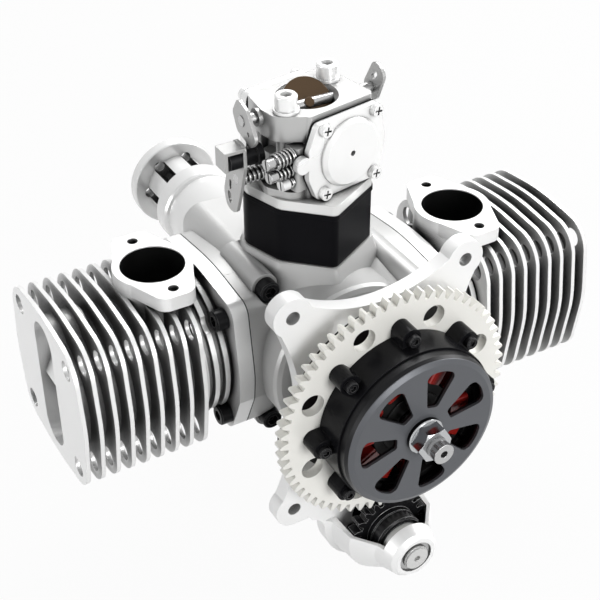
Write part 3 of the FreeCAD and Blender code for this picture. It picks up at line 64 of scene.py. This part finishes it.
# ---------------------------------------------------------------- materials
class Graph:
    """Small helper that adds shader nodes and links them."""

    def __init__(self, name):
        self.mat = bpy.data.materials.new(name)
        self.mat.use_nodes = True
        self.tree = self.mat.node_tree
        self.shader = self.tree.nodes["Principled BSDF"]
        self.coords = self.add("ShaderNodeTexCoord").outputs["Object"]

    def add(self, kind, **values):
        node = self.tree.nodes.new(kind)
        for key, value in values.items():
            if key.startswith("in_"):
                node.inputs[key[3:].replace("_", " ")].default_value = value
            else:
                setattr(node, key, value)
        return node

    def link(self, a, b):
        self.tree.links.new(a, b)

    def noise(self, scale, detail=4.0, rough=0.55, stretch=None):
        node = self.add("ShaderNodeTexNoise", in_Scale=scale, in_Detail=detail, in_Roughness=rough)
        source = self.coords
        if stretch:
            mapping = self.add("ShaderNodeMapping")
            mapping.inputs["Scale"].default_value = stretch
            self.link(source, mapping.inputs["Vector"])
            source = mapping.outputs["Vector"]
        self.link(source, node.inputs["Vector"])
        return node.outputs["Fac"]

    def ramp(self, fac, stops):
        node = self.add("ShaderNodeValToRGB")
        while len(node.color_ramp.elements) < len(stops):
            node.color_ramp.elements.new(0.5)
        for element, (at, colour) in zip(node.color_ramp.elements, stops):
            element.position = at
            element.color = colour if len(colour) == 4 else (*colour, 1)
        self.link(fac, node.inputs["Fac"])
        return node.outputs["Color"]

    def mix(self, fac, a, b, mode="MIX"):
        node = self.add("ShaderNodeMix", data_type="RGBA", blend_type=mode)
        for value, socket in ((fac, node.inputs[0]), (a, node.inputs[6]), (b, node.inputs[7])):
            if hasattr(value, "links"):
                self.link(value, socket)
            else:
                socket.default_value = value
        return node.outputs[2]

    def near_line(self, along, centre, radius, limit):
        """1 within radius of a line along an axis (0 X, 1 Y, 2 Z), below limit on that axis."""
        split = self.add("ShaderNodeSeparateXYZ")
        self.link(self.coords, split.inputs[0])
        flat = self.add("ShaderNodeCombineXYZ")
        for k in range(3):
            if k != along:
                self.link(split.outputs[k], flat.inputs[k])
        away = self.add("ShaderNodeVectorMath", operation="DISTANCE")
        self.link(flat.outputs[0], away.inputs[0])
        away.inputs[1].default_value = centre
        inside = self.math("LESS_THAN", away.outputs["Value"], radius)
        return self.math("MULTIPLY", inside, self.math("LESS_THAN", split.outputs[along], limit))

    def math(self, operation, a, b):
        node = self.add("ShaderNodeMath", operation=operation)
        for value, socket in zip((a, b), node.inputs):
            if hasattr(value, "links"):
                self.link(value, socket)
            else:
                socket.default_value = value
        return node.outputs[0]


MOTTLING = 0.04
SPECK_SHARE = 0.12
EDGE_RADIUS = 0.0004


def shade(value, k):
    return tuple(max(0.0, min(1.0, c * k)) for c in value)


def metal(name, colour, rough=0.3, spread=0.03, grain=3200, bump=0.05, metallic=1.0,
          crevice_shade=None, reach=0.010, depth=(0.25, 0.75), edge_wear_highlight=0.0, wear_highlight_colour=None, rings=None,
          coat=0.0, specular=0.5, stretch=None, patches=()):
    """Surface with fine grain, slow drifts of tone and soft edges, with painted shade and painted
    highlight.

    gap is the colour of painted shade in crevices within reach, edge the share of lighter colour
    on edges, partly wear and partly painted highlight, worn its colour, and patches are areas of
    another colour, as near_line takes them; some patches are painted shade and one is painted
    light.
    """
    g = Graph(name)
    bsdf = g.shader
    bsdf.inputs["Metallic"].default_value = metallic
    bsdf.inputs["Coat Weight"].default_value = coat
    bsdf.inputs["Specular IOR Level"].default_value = specular
    large = g.noise(30, 2)
    fine = g.noise(grain, 3, 0.5, stretch)
    drift = [(0.25, shade(colour, 1 - MOTTLING)), (0.75, shade(colour, 1 + MOTTLING * 0.4))]
    specks = [(0.2, shade(colour, 0.8)), (0.8, shade(colour, 1.08))]
    tone = g.mix(SPECK_SHARE, g.ramp(large, drift), g.ramp(fine, specks))
    # painted shade: where other surfaces are near (ambient occlusion within reach), the colour is
    # darkened toward gap
    if crevice_shade:
        occluded = g.add("ShaderNodeAmbientOcclusion", samples=6)
        occluded.inputs["Distance"].default_value = reach
        dark = g.ramp(occluded.outputs["AO"], [(depth[0], (1, 1, 1)), (depth[1], (0, 0, 0))])
        tone = g.mix(dark, tone, (*crevice_shade, 1))
    for along, centre, radius, limit, colour_there in patches:
        tone = g.mix(g.near_line(along, centre, radius, limit), tone, (*colour_there, 1))
    bevel = g.add("ShaderNodeBevel", samples=4)
    bevel.inputs["Radius"].default_value = EDGE_RADIUS
    # lighter edges where the bevelled normal turns away from the true one: partly wear, partly
    # painted highlight
    if edge_wear_highlight:
        geo = g.add("ShaderNodeNewGeometry")
        dot = g.add("ShaderNodeVectorMath", operation="DOT_PRODUCT")
        g.link(bevel.outputs["Normal"], dot.inputs[0])
        g.link(geo.outputs["Normal"], dot.inputs[1])
        wear_highlight_mask = g.ramp(dot.outputs["Value"], [(0.80, (edge_wear_highlight,) * 3), (0.985, (0, 0, 0))])
        tone = g.mix(wear_highlight_mask, tone, (*(wear_highlight_colour or shade(colour, 1.6)), 1))
    g.link(tone, bsdf.inputs["Base Color"])
    low, high = max(0.03, rough - spread), min(1.0, rough + spread)
    g.link(g.ramp(large, [(0.25, (low,) * 3), (0.75, (high,) * 3)]), bsdf.inputs["Roughness"])
    height = fine
    if rings:
        wave = g.add("ShaderNodeTexWave", wave_type="RINGS", rings_direction=rings,
                     in_Scale=520, in_Distortion=0.6, in_Detail=1.0)
        g.link(g.coords, wave.inputs["Vector"])
        height = g.mix(0.6, fine, wave.outputs["Color"])
    lift = g.add("ShaderNodeBump", in_Strength=bump, in_Distance=0.0002)
    g.link(height, lift.inputs["Height"])
    g.link(bevel.outputs["Normal"], lift.inputs["Normal"])
    g.link(lift.outputs["Normal"], bsdf.inputs["Normal"])
    return g.mat


BLACK = (0.006, 0.006, 0.006)
X, Y, Z = 0, 1, 2
CRANK = (0, 0, 0)
PINION = (0, 0, -0.0765)
PORT_RADIUS, PORT_TOP = 0.0152, 0.0474
# painted shade: the port holes in the finned parts are painted black below PORT_TOP
PORT_SHADE = [(Z, (0.0739, 0.0511, 0), PORT_RADIUS, PORT_TOP, BLACK),
         (Z, (-0.0739, 0.0772, 0), PORT_RADIUS, PORT_TOP, BLACK)]
# painted shade: the six grooves along the hub neck are painted black
GROOVE_CIRCLE, GROOVE_RADIUS, GROOVE_END = 0.0163, 0.0036, 0.2129
GROOVE_SHADE = []
for k in range(6):
    angle = math.radians(65 + 60 * k)
    middle = (GROOVE_CIRCLE * math.cos(angle), 0, GROOVE_CIRCLE * math.sin(angle))
    GROOVE_SHADE.append((Y, middle, GROOVE_RADIUS, GROOVE_END, BLACK))
# painted shadow: the plate's front face within 46 mm of the crank axis, behind the ring gear, is
# painted near-black
SHADOW_BEHIND_GEAR = [(Y, CRANK, 0.046, 0.0005, (0.02, 0.02, 0.02))]
# painted light: the bell's front face is painted dark grey, lighter than its near-black rim, where
# the face catches more light
LIT_BELL_FACE = [(Y, CRANK, 0.0388, -0.0358, (0.105, 0.109, 0.118))]
NUT_HEX = [(Y, CRANK, 0.02, -0.0389, (0.50, 0.51, 0.52))]
COLLAR = [(Y, PINION, 0.03, -0.0245, (0.62, 0.62, 0.61))]
# in these materials gap, reach and depth set painted shade in crevices; edge and worn set lighter
# edges, partly wear and partly painted highlight
MATS = {
    "fins": metal("finned aluminium", (0.88, 0.88, 0.875), 0.34, metallic=0.3, patches=PORT_SHADE,
                  crevice_shade=(0.006, 0.006, 0.006), reach=0.009, depth=(0.34, 0.86)),
    "case": metal("blasted case", (0.52, 0.52, 0.515), 0.40, bump=0.12, grain=2600,
                  metallic=0.3, specular=0.4,
                  crevice_shade=(0.02, 0.02, 0.02), reach=0.012, depth=(0.14, 0.70)),
    "plate": metal("satin plate", (0.90, 0.90, 0.895), 0.36, bump=0.06, metallic=0.2,
                   crevice_shade=(0.012, 0.012, 0.012), reach=0.010, depth=(0.20, 0.62),
                   patches=SHADOW_BEHIND_GEAR),
    "hub": metal("turned hub", (0.84, 0.84, 0.835), 0.24, metallic=0.3, rings="Y",
                 patches=GROOVE_SHADE, crevice_shade=(0.02, 0.02, 0.02), reach=0.008, depth=(0.2, 0.7)),
    "drum": metal("black drum", (0.010, 0.010, 0.011), 0.24, metallic=0.2, specular=0.3,
                  rings="Y", edge_wear_highlight=0.8, wear_highlight_colour=(0.6, 0.6, 0.6), patches=COLLAR),
    "zinc": metal("bright zinc", (0.94, 0.94, 0.935), 0.26, metallic=0.4,
                  crevice_shade=(0.03, 0.03, 0.03), reach=0.003, depth=(0.25, 0.75)),
    "arm": metal("stamped arm", (0.46, 0.46, 0.455), 0.30, metallic=0.5, edge_wear_highlight=0.7,
                 crevice_shade=(0.02, 0.02, 0.02), reach=0.005),
    "steel": metal("ground steel", (0.50, 0.50, 0.50), 0.22, metallic=0.9,
                   stretch=(1, 0.08, 1), crevice_shade=(0.02, 0.02, 0.02), reach=0.003),
    "black_screw": metal("black oxide", (0.006, 0.006, 0.007), 0.35, metallic=0.0,
                         specular=0.12, edge_wear_highlight=0.4, wear_highlight_colour=(0.5, 0.5, 0.5)),
    "nut": metal("chrome nut", (0.012, 0.012, 0.013), 0.16, 0.02, bump=0.01, patches=NUT_HEX),
    "ivory": metal("ivory gear", (0.84, 0.83, 0.785), 0.42, metallic=0.1,
                   crevice_shade=(0.03, 0.03, 0.03), reach=0.004, depth=(0.1, 0.5)),
    "gloss_black": metal("gloss black", (0.006, 0.006, 0.007), 0.26, bump=0.02,
                         metallic=0.0, specular=0.10),
    "bell": metal("dark anodised", (0.008, 0.008, 0.009), 0.34, metallic=0.3, specular=0.2,
                  rings="Y", edge_wear_highlight=0.3, patches=LIT_BELL_FACE),
    "red": metal("enamelled wire", (0.26, 0.012, 0.009), 0.28, grain=900, bump=0.25,
                 metallic=0.1, coat=0.4, crevice_shade=(0.010, 0.004, 0.004), reach=0.004),
    "black_plastic": metal("moulded black", (0.004, 0.004, 0.005), 0.42, bump=0.03,
                           metallic=0.0, specular=0.05),
    "adaptor": metal("light adaptor", (0.80, 0.80, 0.79), 0.30, metallic=0.3,
                     crevice_shade=(0.02, 0.02, 0.02), reach=0.006, depth=(0.3, 0.8)),
    "carb": metal("die-cast body", (0.50, 0.50, 0.495), 0.32, bump=0.08, metallic=0.45,
                  crevice_shade=(0.012, 0.012, 0.012), reach=0.008, depth=(0.30, 0.85), edge_wear_highlight=0.5),
    "gasket": metal("gasket fibre", (0.012, 0.012, 0.012), 0.75, bump=0.15, metallic=0.0,
                    specular=0.1),
    "rubber": metal("seal rubber", (0.015, 0.015, 0.015), 0.65, metallic=0.0, specular=0.3),
    "brass": metal("turned brass", (0.62, 0.50, 0.30), 0.28, stretch=(0.1, 1, 1)),
    "brown": metal("choke plate", (0.09, 0.055, 0.028), 0.14, metallic=0.5, specular=0.4),
    "core": metal("stamped core", (0.02, 0.02, 0.02), 0.42, bump=0.12, specular=0.2,
                  metallic=0.4, stretch=(0.1, 6, 0.1)),
}
LOOK = {
    "fins": "cylinder_right cylinder_left piston_left piston_right",
    "case": "crankcase_rear crankcase_front",
    "plate": "mount_plate stator_carrier",
    "hub": "prop_hub",
    "zinc": "metering_cover pump_cover carb_cover_screws carb_bolts idle_screw",
    "arm": "throttle_arm choke_levers",
    "drum": "starter_pinion",
    "steel": "main_bearings crankshaft_rear crankshaft_front crankshaft_centre_web "
             "needle_springs throttle_spring piston_rings_left piston_rings_right "
             "wrist_pin_left wrist_pin_right con_rod_left con_rod_right "
             "crankpin_left crankpin_right high_needle low_needle throttle_shaft "
             "choke_shaft starter_bush",
    "black_screw": "base_bolts crankcase_bolts mount_plate_screws rotor_screws cable_swivel",
    "nut": "crank_nut",
    "ivory": "ring_gear",
    "gloss_black": "rotor_ring starter_motor prop_cap",
    "bell": "rotor_bell",
    "red": "stator_coils",
    "black_plastic": "insulator reed_valve",
    "adaptor": "carb_adaptor",
    "carb": "carb_body",
    "gasket": "base_gaskets insulator_gasket carb_gaskets",
    "rubber": "crank_seals",
    "brass": "throttle_plate",
    "brown": "choke_plate",
    "core": "rotor_magnets stator_core",
}
for key, names in LOOK.items():
    for node in names.split():
        mesh = nodes[node].data
        mesh.materials.clear()
        mesh.materials.append(MATS[key])


# ---------------------------------------------------------------- springs
END_PITCH = 0.9


def helix(name, start, along, length, radius, wire, turns, node):
    """Compression spring of round wire with closed ends; it stands for a CAD node.

    start is the middle of its first end, along its axis, and radius its outer radius.
    """
    along = Vector(along).normalized()
    side = along.cross(Vector((0, 0, 1))).normalized()
    up = along.cross(side)
    steps, ring = 28 * turns, 8
    run = length - 2 * wire
    closed = 0.8 / turns
    line = []
    for i in range(steps + 1):
        t = i / steps
        rise = min(1.0, max(0.0, (t - closed) / (1 - 2 * closed)))
        ends = (min(t, closed) + max(0.0, t - 1 + closed)) / closed * wire * END_PITCH
        angle = 2 * math.pi * turns * t
        out = side * math.cos(angle) + up * math.sin(angle)
        place = wire + rise * (run - 2 * wire * END_PITCH) + ends
        centre = Vector(start) + along * place + out * (radius - wire)
        line.append((centre, out))
    bm = bmesh.new()
    rows = []
    circle = [2 * math.pi * k / ring for k in range(ring)]
    for centre, out in line:
        spokes = [out * math.cos(a) + along * math.sin(a) for a in circle]
        rows.append([bm.verts.new(centre + spoke * wire) for spoke in spokes])
    for a, b in zip(rows, rows[1:]):
        for k in range(ring):
            bm.faces.new((a[k], a[(k + 1) % ring], b[(k + 1) % ring], b[k]))
    bm.faces.new(rows[0][::-1])
    bm.faces.new(rows[-1])
    bmesh.ops.recalc_face_normals(bm, faces=bm.faces)
    mesh = bpy.data.meshes.new(name)
    bm.to_mesh(mesh)
    bm.free()
    for face in mesh.polygons:
        face.use_smooth = len(face.vertices) == 4
    mesh.materials.append(MATS["steel"])
    obj = bpy.data.objects.new(name, mesh)
    scene.collection.objects.link(obj)
    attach(obj, "engine_block")
    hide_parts(node)


NEEDLE_WIRE, THROTTLE_WIRE = 0.0005, 0.0006
# for each screw: from its joint's point to the head's shoulder and to the seat, along its
# axis, then the spring's outer radius and its turns
NEEDLE_SPRINGS = {
    "high_needle": (-0.00695, 0.0035, 0.0038, 6),
    "low_needle": (-0.00555, 0.0035, 0.0030, 5),
    "idle_screw": (0.00105, 0.0035, 0.0030, 2),
}
joints = {j["name"]: j for j in frame["joints"]}
for needle, (start, end, radius, turns) in NEEDLE_SPRINGS.items():
    joint = joints[needle + "_turn"]
    axis = Vector(joint["axis"])
    first = Vector(joint["pos_m"]) + axis * start
    helix(needle + "_spring", first, axis, end - start, radius, NEEDLE_WIRE, turns,
          "needle_springs")
low, high = (Vector(corner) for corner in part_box("throttle_spring"))
middle = (low + high) / 2
helix("throttle_return_spring", (low.x, middle.y, middle.z), (1, 0, 0), high.x - low.x,
      (high.z - low.z) / 2, THROTTLE_WIRE, 6, "throttle_spring")

# ---------------------------------------------------------------- camera
AZIMUTH, ELEVATION, ROLL = (math.radians(value) for value in (-29.9, 35.52, -0.17))
PLACE = (-0.2611, -0.3829, 0.3790)
SENSOR, FOCAL = 36.0, 1305 / 600
cam_data = bpy.data.cameras.new("camera")
cam = bpy.data.objects.new("camera", cam_data)
scene.collection.objects.link(cam)
turn = Matrix.Rotation(AZIMUTH, 4, "Z")
turn = turn @ Matrix.Rotation(math.pi / 2 - ELEVATION, 4, "X")
turn = turn @ Matrix.Rotation(ROLL, 4, "Z")
cam.matrix_world = Matrix.Translation(PLACE) @ turn
cam_data.sensor_width = SENSOR
cam_data.lens = SENSOR * FOCAL
cam_data.clip_start = 0.01
scene.camera = cam


# ---------------------------------------------------------------- floor and world
def shown(nodes, links):
    """1 for rays that should meet the plain background: camera, glossy and transmission."""
    path = nodes.new("ShaderNodeLightPath")
    total = path.outputs["Is Camera Ray"]
    for ray in ("Is Glossy Ray", "Is Transmission Ray"):
        most = nodes.new("ShaderNodeMath")
        most.operation = "MAXIMUM"
        links.new(total, most.inputs[0])
        links.new(path.outputs[ray], most.inputs[1])
        total = most.outputs[0]
    return total


FLOOR_HALF, FLOOR_GAP = 4.0, 0.002
FLOOR_TONE, FLOOR_SHOWN = 0.45, 0.96
corners = ((-1, -1), (1, -1), (1, 1), (-1, 1))
floor_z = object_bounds()[0].z - FLOOR_GAP
floor_mesh = bpy.data.meshes.new("floor")
floor_mesh.from_pydata([(x * FLOOR_HALF, y * FLOOR_HALF, floor_z) for x, y in corners],
                       [], [(0, 1, 2, 3)])
floor = bpy.data.objects.new("floor", floor_mesh)
scene.collection.objects.link(floor)
floor_mat = bpy.data.materials.new("floor")
floor_mat.use_nodes = True
tree = floor_mat.node_tree
tree.nodes.clear()
pale = tree.nodes.new("ShaderNodeBsdfDiffuse")
pale.inputs["Color"].default_value = (FLOOR_TONE, FLOOR_TONE, FLOOR_TONE, 1)
white = tree.nodes.new("ShaderNodeEmission")
white.inputs["Color"].default_value = (1, 1, 1, 1)
seen = tree.nodes.new("ShaderNodeMath")
seen.operation = "MULTIPLY"
seen.inputs[1].default_value = FLOOR_SHOWN
blend = tree.nodes.new("ShaderNodeMixShader")
out = tree.nodes.new("ShaderNodeOutputMaterial")
tree.links.new(shown(tree.nodes, tree.links), seen.inputs[0])
tree.links.new(seen.outputs[0], blend.inputs[0])
tree.links.new(pale.outputs[0], blend.inputs[1])
tree.links.new(white.outputs[0], blend.inputs[2])
tree.links.new(blend.outputs[0], out.inputs["Surface"])
floor_mesh.materials.append(floor_mat)

SOFT_STRENGTH, CLEAR_STRENGTH = 0.15, 0.975
world = bpy.data.worlds.new("world")
scene.world = world
world.use_nodes = True
tree = world.node_tree
tree.nodes.clear()
soft = tree.nodes.new("ShaderNodeBackground")
soft.inputs["Color"].default_value = (0.95, 0.97, 1.0, 1)
soft.inputs["Strength"].default_value = SOFT_STRENGTH
clear = tree.nodes.new("ShaderNodeBackground")
clear.inputs["Color"].default_value = (1, 1, 1, 1)
clear.inputs["Strength"].default_value = CLEAR_STRENGTH
blend = tree.nodes.new("ShaderNodeMixShader")
out = tree.nodes.new("ShaderNodeOutputWorld")
tree.links.new(shown(tree.nodes, tree.links), blend.inputs[0])
tree.links.new(soft.outputs[0], blend.inputs[1])
tree.links.new(clear.outputs[0], blend.inputs[2])
tree.links.new(blend.outputs[0], out.inputs["Surface"])


# ---------------------------------------------------------------- lamps
def lamp(name, place, target, size, power):
    """Soft rectangular lamp at place that faces target."""
    data = bpy.data.lights.new(name, "AREA")
    data.shape = "RECTANGLE"
    data.size, data.size_y = size
    data.energy = power
    obj = bpy.data.objects.new(name, data)
    obj.location = place
    aim = Vector(target) - Vector(place)
    obj.rotation_mode = "QUATERNION"
    obj.rotation_quaternion = aim.to_track_quat("-Z", "Y")
    scene.collection.objects.link(obj)


CENTRE = (0, 0.08, 0.0)
lamp("key", (0.50, 0.60, 0.95), CENTRE, (0.8, 0.6), 11.5)
lamp("front", (0.10, -1.1, 0.35), CENTRE, (0.5, 0.7), 10.5)
lamp("side", (-1.2, 0.15, 0.15), CENTRE, (0.4, 0.8), 7)
lamp("right", (1.0, 0.1, 0.6), CENTRE, (0.5, 0.6), 8)

scene.view_settings.view_transform = "Standard"
